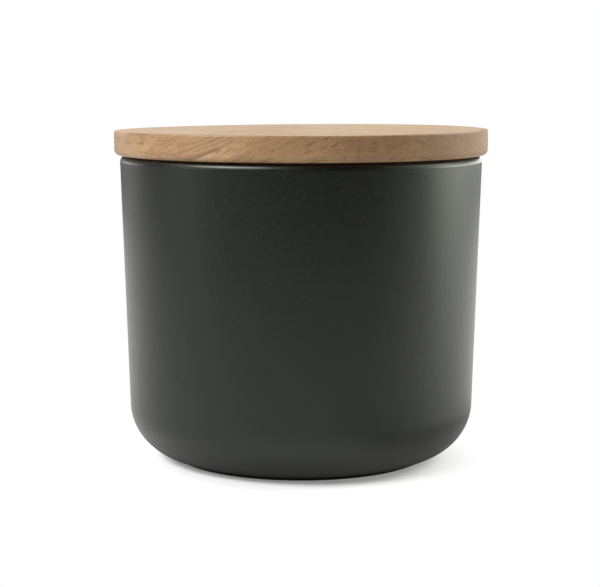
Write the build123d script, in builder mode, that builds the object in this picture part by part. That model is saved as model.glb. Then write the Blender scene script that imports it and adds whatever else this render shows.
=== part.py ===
"""Round stoneware sugar bowl with a flat wooden lid. Millimetres, +Z up, origin at the centre of the foot.

Four pieces: the slip-cast bowl, the lid's turned board, the plug glued under it, and the silicone seal that
sits on the plug's neck, between the board and the plug's flange.
"""

import math
import os

from build123d import *

# Overall
LID_DIAMETER = 100.0
TOTAL_HEIGHT = 88.3
LID_THICKNESS = 6.6
LID_GAP = 0.1  # between the rim and the board's underside

# Bowl
RIM_HEIGHT = TOTAL_HEIGHT - LID_THICKNESS - LID_GAP
RIM_RADIUS = 48.5  # the outer wall carried up to the rim plane
WALL = 4.6
WALL_TAPER = 1.75  # degrees that the wall leans in on its way down
BASE_CORNER = 14.4
CAVITY_CORNER = 11.0
FLOOR_HEIGHT = 5.6
SHOULDER = 1.7  # rounding on the rim's outer edge
MOUTH_ROUND = 1.2  # rounding on the rim's inner edge

# Foot
FOOT_OUTER = 34.4
FOOT_INNER = 29.6
FOOT_STEP = 0.5  # the glazed body stands this far above the table
RECESS_DEPTH = 1.4
RECESS_ROUND = 0.9
FOOT_ROUND = 0.25

# Lid board
BOARD_TOP_ROUND = 0.4
BOARD_UNDER_ROUND = 1.5

# Plug
NECK_RADIUS = 40.6
NECK_HEIGHT = 6.0
FLANGE_RADIUS = 42.8
FLANGE_HEIGHT = 3.0
FLANGE_ROUND = 0.9  # under edge, which leads the plug into the mouth
FLANGE_TOP_ROUND = 0.25

# Seal
SEAL_FIT = 0.05  # clearance to the neck, the board and the flange
SEAL_BAND = 1.5  # thickness of the plain band that grips the neck
LIP_COUNT = 3
LIP_PITCH = 1.6
LIP_ROOT = 0.9
LIP_TIP = 0.5
LIP_RISE = 0.45  # the tip sits above the root, as a lip bends when it is pushed down
LIP_CLEARANCE = 0.06  # to the bowl's wall, with the lips in their seated shape

LEAN = math.tan(math.radians(WALL_TAPER))
BOARD_UNDERSIDE = TOTAL_HEIGHT - LID_THICKNESS


def outer_radius(height):
    """Radius of the bowl's outer wall at a height, before its corners are rounded."""
    return RIM_RADIUS - (RIM_HEIGHT - height) * LEAN


def inner_radius(height):
    """Radius of the bowl's inner wall at a height, before its corners are rounded."""
    return outer_radius(height) - WALL


def circular_edges(part, radius):
    """The part's circular edges of one radius, lowest first."""
    circles = part.edges().filter_by(GeomType.CIRCLE)
    return circles.filter_by(lambda edge: abs(edge.radius - radius) < 1e-4).sort_by(Axis.Z)


with BuildPart() as bowl:
    with BuildSketch(Plane.XZ) as body_profile:
        with BuildLine():
            Polyline(
                (0, FOOT_STEP),
                (outer_radius(FOOT_STEP), FOOT_STEP),
                (outer_radius(RIM_HEIGHT), RIM_HEIGHT),
                (0, RIM_HEIGHT),
                close=True,
            )
        make_face()
        base_corner, shoulder_corner = body_profile.vertices().group_by(Axis.X)[1:]
        fillet(base_corner, BASE_CORNER)
        fillet(shoulder_corner, SHOULDER)
    revolve(axis=Axis.Z)

    with BuildSketch(Plane.XZ) as cavity_profile:
        with BuildLine():
            Polyline(
                (0, FLOOR_HEIGHT),
                (inner_radius(FLOOR_HEIGHT), FLOOR_HEIGHT),
                (inner_radius(RIM_HEIGHT), RIM_HEIGHT),
                (0, RIM_HEIGHT),
                close=True,
            )
        make_face()
        fillet(cavity_profile.vertices().group_by(Axis.X)[1], CAVITY_CORNER)
    revolve(axis=Axis.Z, mode=Mode.SUBTRACT)
    fillet(circular_edges(bowl, inner_radius(RIM_HEIGHT)), MOUTH_ROUND)

    # The foot ring lifts the body clear of the table, and the base is recessed inside it.
    with BuildSketch():
        Circle(FOOT_OUTER)
    extrude(amount=RECESS_DEPTH)
    with BuildSketch():
        Circle(FOOT_INNER)
    extrude(amount=RECESS_DEPTH, mode=Mode.SUBTRACT)
    fillet(circular_edges(bowl, FOOT_INNER)[-1], RECESS_ROUND)
    fillet(circular_edges(bowl, FOOT_INNER)[0], FOOT_ROUND)
    fillet(circular_edges(bowl, FOOT_OUTER)[0], FOOT_ROUND)

with BuildPart() as lid_board:
    with BuildSketch(Plane.XY.offset(BOARD_UNDERSIDE)):
        Circle(LID_DIAMETER / 2)
    extrude(amount=LID_THICKNESS)
    under_edge, top_edge = lid_board.edges().filter_by(GeomType.CIRCLE).sort_by(Axis.Z)
    fillet(under_edge, BOARD_UNDER_ROUND)
    fillet(top_edge, BOARD_TOP_ROUND)

with BuildPart() as lid_plug:
    with BuildSketch(Plane.XY.offset(BOARD_UNDERSIDE - NECK_HEIGHT)):
        Circle(NECK_RADIUS)
    extrude(amount=NECK_HEIGHT)
    with BuildSketch(Plane.XY.offset(BOARD_UNDERSIDE - NECK_HEIGHT)):
        Circle(FLANGE_RADIUS)
    extrude(amount=-FLANGE_HEIGHT)
    fillet(circular_edges(lid_plug, FLANGE_RADIUS)[0], FLANGE_ROUND)
    fillet(circular_edges(lid_plug, FLANGE_RADIUS)[-1], FLANGE_TOP_ROUND)

with BuildPart() as seal_ring:
    band_inner = NECK_RADIUS + SEAL_FIT
    band_bottom = BOARD_UNDERSIDE - NECK_HEIGHT + SEAL_FIT
    band_height = NECK_HEIGHT - 2 * SEAL_FIT
    band_middle = band_bottom + band_height / 2
    with BuildSketch(Plane.XZ) as seal_profile:
        with Locations((band_inner + SEAL_BAND / 2, band_middle)):
            Rectangle(SEAL_BAND, band_height)
        for lip in range(LIP_COUNT):
            tip_height = band_middle + (lip - (LIP_COUNT - 1) / 2) * LIP_PITCH
            root_height = tip_height - LIP_RISE
            root_radius = band_inner + SEAL_BAND / 2
            tip_radius = inner_radius(tip_height) - LIP_CLEARANCE
            with BuildLine():
                Polyline(
                    (root_radius, root_height - LIP_ROOT / 2),
                    (tip_radius, tip_height - LIP_TIP / 2),
                    (tip_radius, tip_height + LIP_TIP / 2),
                    (root_radius, root_height + LIP_ROOT / 2),
                    close=True,
                )
            make_face()
    revolve(axis=Axis.Z)

os.makedirs("parts", exist_ok=True)
pieces = {"bowl": bowl, "lid_board": lid_board, "lid_plug": lid_plug, "seal_ring": seal_ring}
for name, piece in pieces.items():
    piece.part.label = name
    export_step(piece.part, f"parts/{name}.step")
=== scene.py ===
"""Looks for the round stoneware sugar bowl with a flat wooden lid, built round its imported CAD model.

Lengths in the constants are millimetres and angles are degrees, where nothing else is said. An azimuth is 0
towards -Y, where the camera stands, and 90 towards +X.
"""

import math

import bpy
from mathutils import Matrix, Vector


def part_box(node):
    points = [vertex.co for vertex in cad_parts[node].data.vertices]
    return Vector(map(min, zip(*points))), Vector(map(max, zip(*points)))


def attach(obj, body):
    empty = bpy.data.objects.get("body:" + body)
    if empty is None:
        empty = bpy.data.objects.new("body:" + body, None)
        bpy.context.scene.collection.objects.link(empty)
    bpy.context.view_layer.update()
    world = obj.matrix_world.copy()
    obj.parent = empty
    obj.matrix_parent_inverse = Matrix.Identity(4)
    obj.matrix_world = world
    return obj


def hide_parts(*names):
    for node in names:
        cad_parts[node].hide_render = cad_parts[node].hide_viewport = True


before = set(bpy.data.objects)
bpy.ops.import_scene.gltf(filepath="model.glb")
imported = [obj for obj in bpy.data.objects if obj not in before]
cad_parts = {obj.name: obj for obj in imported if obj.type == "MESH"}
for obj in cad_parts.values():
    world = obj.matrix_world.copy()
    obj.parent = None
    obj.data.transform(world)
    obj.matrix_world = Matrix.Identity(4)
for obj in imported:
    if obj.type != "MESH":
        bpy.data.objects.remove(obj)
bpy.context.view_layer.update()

MM = 0.001
SEGMENTS = 320  # round every turned piece
LONGEST = 2.0  # of the lengths that a profile's straights are divided into
ARC_STEP = 0.8  # longest step along a rounding
ARC_STEPS = 6  # fewest steps in a rounding


def extent(node):
    """(radius, lowest height, highest height) of a CAD node, in mm."""
    low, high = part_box(node)
    return high.x / MM, low.z / MM, high.z / MM


BOARD_RADIUS, BOARD_BOTTOM, BOARD_TOP = extent("lid_board")
WIDEST_RADIUS, FOOT_BOTTOM, RIM_HEIGHT = extent("bowl")
FLANGE_RADIUS, FLANGE_BOTTOM, NECK_TOP = extent("lid_plug")
LIP_RADIUS, SEAL_BOTTOM, SEAL_TOP = extent("seal_ring")

# Bowl
WALL = 4.6
WALL_TAPER = math.tan(math.radians(1.75))
BASE_CORNER = 14.4
CAVITY_CORNER = 11.0
FLOOR_HEIGHT = 5.6
SHOULDER = 1.7
MOUTH_ROUND = 1.2
FOOT_OUTER = 34.4
FOOT_INNER = 29.6
FOOT_STEP = 0.5
FOOT_ROUND = 0.25
RECESS_HEIGHT = 1.4
RECESS_ROUND = 0.9
CAVITY_INSET = 5.0  # from the outside to where the glaze counts as the cavity's
RIM_RADIUS = WIDEST_RADIUS + SHOULDER * WALL_TAPER  # the wall carried up to the rim's plane

# Lid
BOARD_TOP_ROUND = 0.4
BOARD_UNDER_ROUND = 1.5
BOARD_WARP = 0.4  # how far the top's two back corners are twisted, one up and one down
NECK_RADIUS = 40.6
NECK_HEIGHT = 6.0
FLANGE_TOP = NECK_TOP - NECK_HEIGHT
FLANGE_ROUND = 0.9
FLANGE_TOP_ROUND = 0.25
NECK_ROUND = 0.15
GRAIN_AZIMUTH = 60.0  # that the board's fibres point to

# Seal
SEAL_INNER = 40.65
SEAL_BAND = 1.5
LIP_COUNT = 3
LIP_PITCH = 1.6
LIP_ROOT = 0.72
LIP_TIP = 0.5
LIP_RISE = 0.4  # of a lip's tip over its root
LIP_ROUND = 0.2
BAND_ROUND = 0.3
BORE_ROUND = 0.12

# Camera
CAMERA = (-0.28, -454.9, 102.67)
CAMERA_PITCH = 7.374
CAMERA_LENS = 101.1

# Studio, in metres, with light as a share of white paper's
LIGHT_DISTANCE = 1.6
LIGHT_TARGET = Vector((0, 0, 0.045))
PAPER_TONE = 0.80
PAPER_GLOW = 0.22
FLOOR_HALF = 3.0
FADE_CENTRE = (-0.006, -0.004)  # round which the paper fades to white
SHEET_BEHIND = 0.20  # centre of the glowing sheet of painted light that the object sees, behind it
NEUTRAL = (1.0, 1.0, 1.0)
WARM = (0.99, 1.0, 0.92)


# ---------------------------------------------------------------------------------------------------------
# Turned meshes
# ---------------------------------------------------------------------------------------------------------


def rounded(corners, closed=False):
    """Points of a profile with each rounding drawn as an arc. Each corner is (radius, height, rounding)."""
    points = []
    count = len(corners)
    for i, (r, z, rounding) in enumerate(corners):
        corner = Vector((r, z))
        if rounding == 0 or (not closed and i in (0, count - 1)):
            points.append(corner)
            continue
        before = (Vector(corners[i - 1][:2]) - corner).normalized()
        after = (Vector(corners[(i + 1) % count][:2]) - corner).normalized()
        half = before.angle(after) / 2
        centre = corner + (before + after).normalized() * (rounding / math.sin(half))
        start = corner + before * (rounding / math.tan(half)) - centre
        end = corner + after * (rounding / math.tan(half)) - centre
        first = math.atan2(start.y, start.x)
        sweep = math.remainder(math.atan2(end.y, end.x) - first, math.tau)
        steps = max(ARC_STEPS, math.ceil(abs(sweep) * rounding / ARC_STEP))
        for step in range(steps + 1):
            angle = first + sweep * step / steps
            points.append(centre + Vector((math.cos(angle), math.sin(angle))) * rounding)
    return points


def divided(points, longest, guard=0.1):
    """The same profile with its long straights divided, and with a guard point near both of their ends."""
    result = [points[0]]
    for a, b in zip(points, points[1:]):
        length = (b - a).length
        if length > 5 * guard:
            count = math.ceil((length - 2 * guard) / longest)
            for step in range(count + 1):
                result.append(a.lerp(b, (guard + (length - 2 * guard) * step / count) / length))
        result.append(b)
    return result


def turned(name, profile, closed=False, shift=None):
    """A mesh turned about Z from a profile in mm. shift(point) says how far to move a vertex."""
    vertices = []
    rings = []
    for r, z in profile:
        if r < 1e-6:
            rings.append([len(vertices)] * SEGMENTS)
            vertices.append(Vector((0, 0, z)))
            continue
        rings.append(range(len(vertices), len(vertices) + SEGMENTS))
        for segment in range(SEGMENTS):
            angle = math.tau * segment / SEGMENTS
            vertices.append(Vector((r * math.cos(angle), r * math.sin(angle), z)))
    following = rings[1:] + rings[:1] if closed else rings[1:]
    faces = []
    for low, high in zip(rings, following):
        for i in range(SEGMENTS):
            j = (i + 1) % SEGMENTS
            corners = (low[i], low[j], high[j], high[i])
            faces.append(tuple(dict.fromkeys(corners)))
    if shift:
        vertices = [v + shift(v) for v in vertices]
    mesh = bpy.data.meshes.new(name)
    mesh.from_pydata([v * MM for v in vertices], [], faces)
    mesh.polygons.foreach_set("use_smooth", [True] * len(mesh.polygons))
    mesh.update()
    piece = bpy.data.objects.new(name, mesh)
    bpy.context.scene.collection.objects.link(piece)
    return piece


# ---------------------------------------------------------------------------------------------------------
# Node materials
# ---------------------------------------------------------------------------------------------------------


class Nodes:
    """A material's node tree. Each method adds one node and returns its output socket."""

    def __init__(self, name):
        self.material = bpy.data.materials.new(name)
        self.material.use_nodes = True
        self.tree = self.material.node_tree
        self.tree.nodes.clear()
        self.output = self.tree.nodes.new("ShaderNodeOutputMaterial")

    def add(self, kind, inputs, output=0, **settings):
        node = self.tree.nodes.new("ShaderNode" + kind)
        for key, value in settings.items():
            setattr(node, key, value)
        for key, value in inputs.items():
            if isinstance(value, bpy.types.NodeSocket):
                self.tree.links.new(value, node.inputs[key])
            else:
                node.inputs[key].default_value = value
        return node.outputs[output]

    def math(self, operation, a, b=0.0):
        return self.add("Math", {0: a, 1: b}, operation=operation)

    def vector(self, operation, a, b=(0.0, 0.0, 0.0)):
        output = "Value" if operation == "DOT_PRODUCT" else "Vector"
        return self.add("VectorMath", {0: a, 1: b}, output=output, operation=operation)

    def split(self, vector):
        node = self.tree.nodes.new("ShaderNodeSeparateXYZ")
        self.tree.links.new(vector, node.inputs[0])
        return node.outputs

    def join(self, x, y, z):
        return self.add("CombineXYZ", {0: x, 1: y, 2: z})

    def ramp(self, value, low, high, to_low=0.0, to_high=1.0, kind="SMOOTHSTEP"):
        inputs = {"Value": value, 1: low, 2: high, 3: to_low, 4: to_high}
        return self.add("MapRange", inputs, interpolation_type=kind)

    def noise(self, vector, scale=1.0, detail=2.0, roughness=0.5, output="Fac"):
        inputs = {"Vector": vector, "Scale": scale, "Detail": detail, "Roughness": roughness}
        return self.add("TexNoise", inputs, output=output)

    def noise_along(self, value, detail=2.0):
        return self.add("TexNoise", {"W": value, "Scale": 1.0, "Detail": detail}, noise_dimensions="1D")

    def mix(self, factor, a, b, blend="MIX"):
        return self.add("Mix", {0: factor, 6: a, 7: b}, output=2, data_type="RGBA", blend_type=blend)

    def bump(self, height, distance, normal=None):
        inputs = {"Height": height, "Distance": distance * MM}
        if normal:
            inputs["Normal"] = normal
        return self.add("Bump", inputs)

    def coordinates(self, kind="Object"):
        return self.add("TexCoord", {}, output=kind)

    def millimetres(self):
        return self.vector("MULTIPLY", self.coordinates(), (1 / MM,) * 3)

    def surface(self, shader):
        self.tree.links.new(shader, self.output.inputs["Surface"])
        return self.material


def rgb(r, g, b):
    return (r, g, b, 1.0)


def glaze():
    """Satin matt dark green-grey glaze, mottled and thin at the rim, with the bare clay of the foot ring."""
    n = Nodes("glaze")
    point = n.millimetres()
    x, y, z = n.split(point)
    radius = n.math("SQRT", n.math("ADD", n.math("MULTIPLY", x, x), n.math("MULTIPLY", y, y)))

    clouds = n.noise(point, 0.035, 3.0)
    mottle = n.noise(point, 0.9, 4.0, 0.6)
    grain = n.noise(point, 6.0, 2.0)
    tone = n.mix(n.ramp(clouds, 0.35, 0.65), rgb(0.0035, 0.0045, 0.0035), rgb(0.0050, 0.0060, 0.0048))
    tone = n.mix(n.ramp(mottle, 0.3, 0.75), tone, rgb(0.0070, 0.0075, 0.0062))

    rim = n.ramp(z, RIM_HEIGHT - 1.3, RIM_HEIGHT - 0.1)
    wander = n.ramp(n.noise(point, 0.5, 3.0), 0.3, 0.7)
    thin = n.math("MULTIPLY", rim, wander)
    tone = n.mix(n.math("MULTIPLY", thin, 0.5), tone, rgb(0.060, 0.055, 0.042))

    cavity_radius = n.math("ADD", n.math("MULTIPLY", z, WALL_TAPER), RIM_RADIUS - CAVITY_INSET)
    inside = n.math("LESS_THAN", radius, cavity_radius)
    roughness = n.ramp(mottle, 0.25, 0.8, 0.34, 0.40, "LINEAR")
    roughness = n.math("SUBTRACT", roughness, n.math("MULTIPLY", inside, 0.06))

    orange_peel = n.bump(n.noise(point, 0.7, 3.0), 0.030)
    skin = n.bump(grain, 0.006, orange_peel)
    glazed = n.add(
        "BsdfPrincipled",
        {
            "Base Color": tone,
            "Roughness": roughness,
            "Normal": skin,
            "IOR": 1.5,
            "Specular Tint": rgb(0.955, 1.0, 0.91),
        },
    )

    sand = n.noise(point, 3.5, 5.0, 0.7)
    grog = n.add("TexVoronoi", {"Vector": point, "Scale": 1.1}, output="Distance")
    clay_tone = n.mix(n.ramp(sand, 0.3, 0.7), rgb(0.15, 0.095, 0.055), rgb(0.24, 0.16, 0.10))
    clay_tone = n.mix(n.ramp(grog, 0.10, 0.16, 0.7, 0.0), clay_tone, rgb(0.06, 0.036, 0.022))
    clay = n.add(
        "BsdfPrincipled",
        {"Base Color": clay_tone, "Roughness": 0.85, "Normal": n.bump(sand, 0.06), "IOR": 1.35},
    )
    edge = n.math("MULTIPLY", n.math("SUBTRACT", n.noise(point, 0.35, 3.0), 0.5), 0.35)
    low = n.math("LESS_THAN", n.math("ADD", z, edge), FOOT_STEP - 0.05)
    outside_recess = n.math("GREATER_THAN", n.math("ADD", radius, edge), FOOT_INNER - 0.15)
    inside_step = n.math("LESS_THAN", radius, FOOT_OUTER + 0.1)
    bare = n.math("MULTIPLY", low, n.math("MULTIPLY", outside_recess, inside_step))
    return n.surface(n.add("MixShader", {0: bare, 1: glazed, 2: clay}))


def wood(name, azimuth, heart, ring_width, pale, brown, dark, pore, climb=0.0):
    """Oiled hardwood cut from a log whose fibres lie level, towards an azimuth.

    heart is the pith's (offset across the fibres, height). Growth rings, fibres and pores are solid, so that
    each face shows its own cut: long grain, or end grain where the fibres meet it. The fibres have a shallow
    S-bend, which takes them up by climb mm.
    """
    n = Nodes(name)
    point = n.millimetres()
    turn = math.radians(90 - azimuth)
    level = n.add("VectorRotate", {"Vector": point, "Angle": turn}, rotation_type="Z_AXIS")
    ahead, aside, up = n.split(level)
    level = n.join(ahead, aside, n.math("SUBTRACT", up, n.ramp(ahead, -12.0, 38.0, 0.0, climb)))

    def wander(source, along, across, reach):
        field = n.noise(n.vector("MULTIPLY", source, (1 / along, 1 / across, 1 / across)), output="Color")
        centred = n.vector("SUBTRACT", field, (0.5, 0.5, 0.5))
        return n.vector("ADD", source, n.vector("MULTIPLY", centred, (0.0, reach, reach)))

    bent = wander(wander(level, 60.0, 25.0, 9.0), 18.0, 7.0, 1.2)
    along, across, height = n.split(bent)

    from_heart = n.math("SUBTRACT", across, heart[0])
    above_heart = n.math("SUBTRACT", height, heart[1])
    ring_radius = n.math(
        "SQRT", n.math("ADD", n.math("POWER", from_heart, 2.0), n.math("POWER", above_heart, 2.0))
    )
    uneven = n.math("MULTIPLY", n.noise_along(n.math("MULTIPLY", ring_radius, 0.35), 1.0), 2.4)
    growth = n.math("DIVIDE", n.math("ADD", ring_radius, uneven), ring_width)
    season = n.math("FRACT", growth)
    latewood = n.math("MULTIPLY", n.ramp(season, 0.62, 0.90), n.ramp(season, 0.92, 1.0, 1.0, 0.0))
    year = n.noise_along(n.math("MULTIPLY", growth, 0.8), 1.0)

    def streaks(length, width, detail=2.0):
        return n.noise(n.vector("MULTIPLY", bent, (1 / length, 1 / width, 1 / width)), 1.0, detail, 0.6)

    broad = streaks(80.0, 9.0)
    bands = streaks(45.0, 1.4)
    fibres = streaks(26.0, 0.35, 3.0)
    fine = streaks(8.0, 0.15)

    def vessels(length, width, spacing):
        """Tapered tubes, one to each cell of a Voronoi pattern stretched along the fibres."""
        cells = n.add(
            "TexVoronoi",
            {"Vector": n.vector("MULTIPLY", bent, (1 / length, 1 / spacing, 1 / spacing))},
            output="Distance",
        )
        return n.ramp(cells, 0.4 * width / spacing, width / spacing, 1.0, 0.0)

    early = n.ramp(season, 0.10, 0.60, 1.0, 0.25)
    pores = n.math("MULTIPLY", vessels(14.0, 0.22, 0.90), early)
    small_pores = vessels(8.0, 0.12, 0.50)

    tone = n.mix(n.ramp(broad, 0.42, 0.60), pale, brown)
    tone = n.mix(n.ramp(year, 0.35, 0.65, 0.0, 0.35), tone, brown)
    tone = n.mix(n.ramp(bands, 0.52, 0.64, 0.0, 0.35), tone, dark)
    tone = n.mix(n.math("MULTIPLY", latewood, n.ramp(bands, 0.40, 0.60, 0.05, 0.95)), tone, dark)
    tone = n.mix(n.ramp(fibres, 0.50, 0.62, 0.0, 0.50), tone, dark)
    tone = n.mix(n.ramp(fine, 0.46, 0.62, 0.0, 0.25), tone, pale)
    tone = n.mix(n.math("MULTIPLY", pores, 0.85), tone, pore)
    tone = n.mix(n.math("MULTIPLY", small_pores, 0.45), tone, pore)

    fibre = (math.sin(math.radians(azimuth)), -math.cos(math.radians(azimuth)), 0.0)
    facing = n.vector("DOT_PRODUCT", n.coordinates("Normal"), fibre)
    end_grain = n.math("POWER", n.math("ABSOLUTE", facing), 1.4)
    tone = n.mix(n.math("MULTIPLY", end_grain, 0.66), tone, dark)

    roughness = n.math("ADD", n.ramp(fibres, 0.2, 0.8, 0.38, 0.48, "LINEAR"), n.math("MULTIPLY", pores, 0.2))
    roughness = n.math("ADD", roughness, n.math("MULTIPLY", end_grain, 0.15))
    gloss = n.ramp(end_grain, 0.0, 1.0, 0.5, 0.38, "LINEAR")
    relief = n.bump(fibres, 0.020)
    relief = n.bump(n.math("SUBTRACT", 1.0, pores), 0.05, relief)
    relief = n.bump(n.math("SUBTRACT", 1.0, small_pores), 0.02, relief)
    return n.surface(
        n.add(
            "BsdfPrincipled",
            {
                "Base Color": tone,
                "Roughness": roughness,
                "Specular IOR Level": gloss,
                "Normal": relief,
                "IOR": 1.45,
            },
        )
    )


def silicone():
    """Milky satin silicone, slightly see-through in its thin lips, with a little dust."""
    n = Nodes("silicone")
    point = n.millimetres()
    haze = n.noise(point, 0.12, 3.0)
    dust = n.add("TexVoronoi", {"Vector": point, "Scale": 0.8}, output="Distance")
    tone = n.mix(n.ramp(haze, 0.3, 0.7), rgb(0.72, 0.72, 0.68), rgb(0.80, 0.80, 0.77))
    tone = n.mix(n.ramp(dust, 0.05, 0.09, 0.4, 0.0), tone, rgb(0.45, 0.42, 0.38))
    inputs = {
        "Base Color": tone,
        "Roughness": n.ramp(n.noise(point, 2.0, 3.0), 0.3, 0.7, 0.36, 0.48),
        "Subsurface Weight": 0.5,
        "Subsurface Radius": (1.0, 0.9, 0.8),
        "Subsurface Scale": 1.5 * MM,
        "IOR": 1.41,
        "Normal": n.bump(n.noise(point, 4.0, 3.0), 0.004),
    }
    return n.surface(n.add("BsdfPrincipled", inputs))


# ---------------------------------------------------------------------------------------------------------
# Pieces
# ---------------------------------------------------------------------------------------------------------


def wall_radius(height):
    return RIM_RADIUS - (RIM_HEIGHT - height) * WALL_TAPER


def bowl_profile():
    body = rounded(
        [
            (FOOT_INNER, FOOT_STEP, 0),
            (wall_radius(FOOT_STEP), FOOT_STEP, BASE_CORNER),
            (RIM_RADIUS, RIM_HEIGHT, SHOULDER),
            (wall_radius(RIM_HEIGHT) - WALL, RIM_HEIGHT, MOUTH_ROUND),
            (wall_radius(FLOOR_HEIGHT) - WALL, FLOOR_HEIGHT, CAVITY_CORNER),
            (0, FLOOR_HEIGHT, 0),
        ]
    )
    outside = [p for i, p in enumerate(body) if p.x > FOOT_OUTER + 0.1 or i > len(body) / 2]
    foot = rounded(
        [
            (0, RECESS_HEIGHT, 0),
            (FOOT_INNER, RECESS_HEIGHT, RECESS_ROUND),
            (FOOT_INNER, 0, FOOT_ROUND),
            (FOOT_OUTER, 0, FOOT_ROUND),
            (FOOT_OUTER, outside[0].y, 0),
        ]
    )
    return divided(foot[:-1] + outside, LONGEST)


def seal_profile():
    middle = (SEAL_BOTTOM + SEAL_TOP) / 2
    outer = SEAL_INNER + SEAL_BAND
    corners = [(SEAL_INNER, SEAL_BOTTOM, BORE_ROUND), (outer, SEAL_BOTTOM, BAND_ROUND)]
    for lip in range(LIP_COUNT):
        tip = middle + (lip - (LIP_COUNT - 1) / 2) * LIP_PITCH
        root = tip - LIP_RISE
        radius = LIP_RADIUS + (tip - SEAL_TOP) * WALL_TAPER
        corners += [
            (outer, root - LIP_ROOT / 2, LIP_ROUND),
            (radius, tip - LIP_TIP / 2, LIP_ROUND),
            (radius, tip + LIP_TIP / 2, LIP_ROUND),
            (outer, root + LIP_ROOT / 2, LIP_ROUND),
        ]
    corners += [(outer, SEAL_TOP, BAND_ROUND), (SEAL_INNER, SEAL_TOP, BORE_ROUND)]
    return rounded(corners, closed=True)


def board_profile():
    corners = [
        (0, BOARD_BOTTOM, 0),
        (BOARD_RADIUS, BOARD_BOTTOM, BOARD_UNDER_ROUND),
        (BOARD_RADIUS, BOARD_TOP, BOARD_TOP_ROUND),
        (0, BOARD_TOP, 0),
    ]
    return divided(rounded(corners), LONGEST)


def plug_profile():
    corners = [
        (0, FLANGE_BOTTOM, 0),
        (FLANGE_RADIUS, FLANGE_BOTTOM, FLANGE_ROUND),
        (FLANGE_RADIUS, FLANGE_TOP, FLANGE_TOP_ROUND),
        (NECK_RADIUS, FLANGE_TOP, NECK_ROUND),
        (NECK_RADIUS, NECK_TOP, 0),
        (0, NECK_TOP, 0),
    ]
    return divided(rounded(corners), LONGEST)


def board_warp(point):
    """The board's slight twist, which its flat underside doesn't share."""
    raised = max(0.0, (point.z - BOARD_BOTTOM) / (BOARD_TOP - BOARD_BOTTOM))
    back = (point.y + BOARD_RADIUS) / (2 * BOARD_RADIUS)
    return Vector((0, 0, BOARD_WARP * raised * back * point.x / BOARD_RADIUS))


def put(piece, body, node, material):
    """Gives a piece its material and makes it stand for a CAD node on its body."""
    piece.data.materials.append(material)
    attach(piece, body)
    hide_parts(node)


board_wood = wood(
    "board_wood",
    GRAIN_AZIMUTH,
    (-35.0, -25.0),
    1.3,
    rgb(0.455, 0.29, 0.15),
    rgb(0.36, 0.215, 0.105),
    rgb(0.20, 0.105, 0.048),
    rgb(0.075, 0.038, 0.018),
    climb=14.0,
)
plug_wood = wood(
    "plug_wood",
    GRAIN_AZIMUTH + 90,
    (-30.0, 60.0),
    3.1,
    rgb(0.52, 0.36, 0.22),
    rgb(0.40, 0.26, 0.15),
    rgb(0.26, 0.15, 0.080),
    rgb(0.12, 0.065, 0.033),
)

put(turned("bowl_body", bowl_profile()), "bowl", "bowl", glaze())
put(turned("board", board_profile(), shift=board_warp), "lid", "lid_board", board_wood)
put(turned("plug", plug_profile()), "lid", "lid_plug", plug_wood)
put(turned("seal", seal_profile(), closed=True), "seal", "seal_ring", silicone())


# ---------------------------------------------------------------------------------------------------------
# Studio
# ---------------------------------------------------------------------------------------------------------


def floor():
    """White paper that glows a little, and fades for the camera into the white surroundings near the object.

    The object sees a glowing sheet round and behind it: painted light that stands in for lit paper, brighter
    behind, with a painted shadow under the foot and painted shade close by on the right.
    """
    n = Nodes("paper")
    x, y, _ = n.split(n.coordinates())

    def distance(centre_x, centre_y):
        dx = n.math("SUBTRACT", x, centre_x)
        dy = n.math("SUBTRACT", y, centre_y)
        return n.math("SQRT", n.math("ADD", n.math("MULTIPLY", dx, dx), n.math("MULTIPLY", dy, dy)))

    radius = distance(0.0, 0.0)
    reach = distance(0.0, SHEET_BEHIND)
    fade = n.ramp(distance(*FADE_CENTRE), 0.036, 0.055)
    seen = n.add("LightPath", {}, output="Is Camera Ray")
    paper = n.add(
        "AddShader",
        {
            0: n.add("BsdfDiffuse", {"Color": rgb(PAPER_TONE, PAPER_TONE, PAPER_TONE)}),
            1: n.add("Emission", {"Color": rgb(1, 1, 1), "Strength": PAPER_GLOW}),
        },
    )
    white = n.add("Emission", {"Color": rgb(1, 1, 1), "Strength": 1.0})
    for_camera = n.add("MixShader", {0: fade, 1: paper, 2: white})
    # Painted shadow: the glowing sheet is dark under the foot and brightens past it.
    painted_shadow_under_foot = n.ramp(radius, 0.033, 0.053)
    far_end = n.ramp(reach, 0.38, 0.72, 1.0, 0.0)
    # Painted light: the glowing sheet is brighter towards the back.
    behind = n.ramp(y, -0.05, 0.15, 1.0, 1.4)
    # Painted shade: the glowing sheet is dimmer close by on the right.
    painted_shade_near_right = n.math("MAXIMUM", n.ramp(x, 0.01, 0.05, 1.0, 0.55), n.ramp(radius, 0.07, 0.11))
    sheet_light = n.math("MULTIPLY", painted_shadow_under_foot, far_end)
    sheet_light = n.math("MULTIPLY", sheet_light, behind)
    sheet_light = n.math("MULTIPLY", sheet_light, painted_shade_near_right)
    # Painted light: this emission stands in for the lit paper in everything the object reflects or is lit
    # by.
    for_object = n.add("Emission", {"Color": rgb(1, 1, 1), "Strength": sheet_light})
    material = n.surface(n.add("MixShader", {0: seen, 1: for_object, 2: for_camera}))
    mesh = bpy.data.meshes.new("floor")
    corners = [(-1, -1), (1, -1), (1, 1), (-1, 1)]
    mesh.from_pydata([(FLOOR_HALF * i, FLOOR_HALF * j, 0) for i, j in corners], [], [(0, 1, 2, 3)])
    sheet = bpy.data.objects.new("floor", mesh)
    sheet.data.materials.append(material)
    bpy.context.scene.collection.objects.link(sheet)


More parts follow.
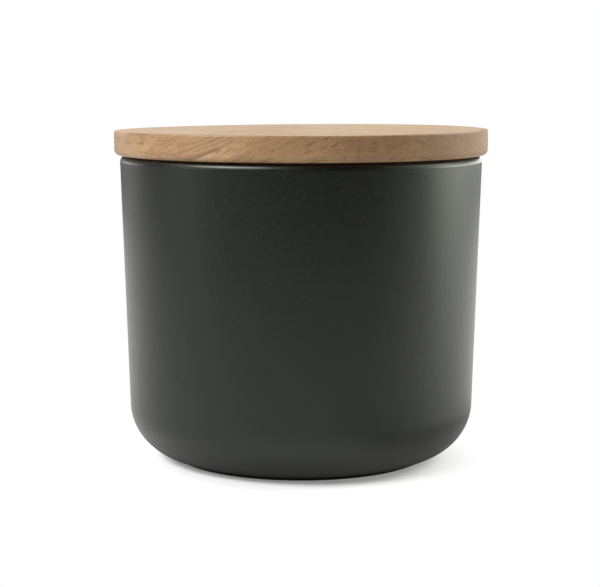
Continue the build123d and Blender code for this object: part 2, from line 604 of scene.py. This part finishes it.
def softbox(name, azimuth, elevation, wide, high, radiance, colour=NEUTRAL):
    """A rectangular soft light aimed at the bowl. White paper's radiance is 1.

    wide and high are the angles that it spans, seen from the bowl.
    """
    a, e = math.radians(azimuth), math.radians(elevation)
    out = Vector((math.sin(a) * math.cos(e), -math.cos(a) * math.cos(e), math.sin(e)))
    data = bpy.data.lights.new(name, "AREA")
    data.shape = "RECTANGLE"
    data.size = 2 * LIGHT_DISTANCE * math.tan(math.radians(wide / 2)) * math.cos(e)
    data.size_y = 2 * LIGHT_DISTANCE * math.tan(math.radians(high / 2))
    data.energy = radiance * math.pi * data.size * data.size_y
    data.color = colour
    light = bpy.data.objects.new(name, data)
    light.location = LIGHT_TARGET + out * LIGHT_DISTANCE
    light.rotation_mode = "QUATERNION"
    light.rotation_quaternion = out.to_track_quat("Z", "Y")
    light.visible_camera = False
    bpy.context.scene.collection.objects.link(light)


def surroundings():
    """A dark room, which the camera itself sees as plain white."""
    world = bpy.data.worlds.new("room")
    world.use_nodes = True
    bpy.context.scene.world = world
    n = world.node_tree
    n.nodes.clear()
    path = n.nodes.new("ShaderNodeLightPath")
    light = n.nodes.new("ShaderNodeBackground")
    output = n.nodes.new("ShaderNodeOutputWorld")
    light.inputs["Color"].default_value = rgb(1, 1, 1)
    n.links.new(path.outputs["Is Camera Ray"], light.inputs["Strength"])
    n.links.new(light.outputs[0], output.inputs["Surface"])


def lights():
    """Softboxes round the table: keys at the left, broad ones at the right, and weaker ones behind.

    low, middle and high are rows of them, as azimuth: radiance.
    """
    low = {-135: 2.9, -75: 2.6, 75: 1.4, 105: 12.5, 135: 5.1, 165: 4.5}
    middle = {-135: 2.5, 75: 1.5, 105: 8.0, 135: 5.0}
    high = {-105: 3.8, 135: 1.0}
    for azimuth, radiance in low.items():
        softbox(f"low_{azimuth}", azimuth, 5, 30, 10, radiance, WARM if azimuth > 0 else NEUTRAL)
    for azimuth, radiance in middle.items():
        softbox(f"middle_{azimuth}", azimuth, 33.5, 30, 23, radiance, WARM if azimuth > 0 else NEUTRAL)
    for azimuth, radiance in high.items():
        softbox(f"high_{azimuth}", azimuth, 57.5, 30, 25, radiance)
    softbox("behind", -165, 16, 30, 12, 2.4)
    softbox("key_left", -72, 41, 13, 20, 16.0)
    softbox("key_middle", -54, 37, 24, 17, 20.5)
    softbox("key_right", -36, 38, 12, 19, 19.0)


def camera():
    data = bpy.data.cameras.new("camera")
    data.lens = CAMERA_LENS
    data.sensor_width = 36.0
    data.clip_start = 0.01
    eye = bpy.data.objects.new("camera", data)
    eye.location = Vector(CAMERA) * MM
    eye.rotation_euler = (math.radians(90 - CAMERA_PITCH), 0, 0)
    bpy.context.scene.collection.objects.link(eye)
    bpy.context.scene.camera = eye


floor()
surroundings()
lights()
camera()
bpy.context.scene.view_settings.view_transform = "Standard"
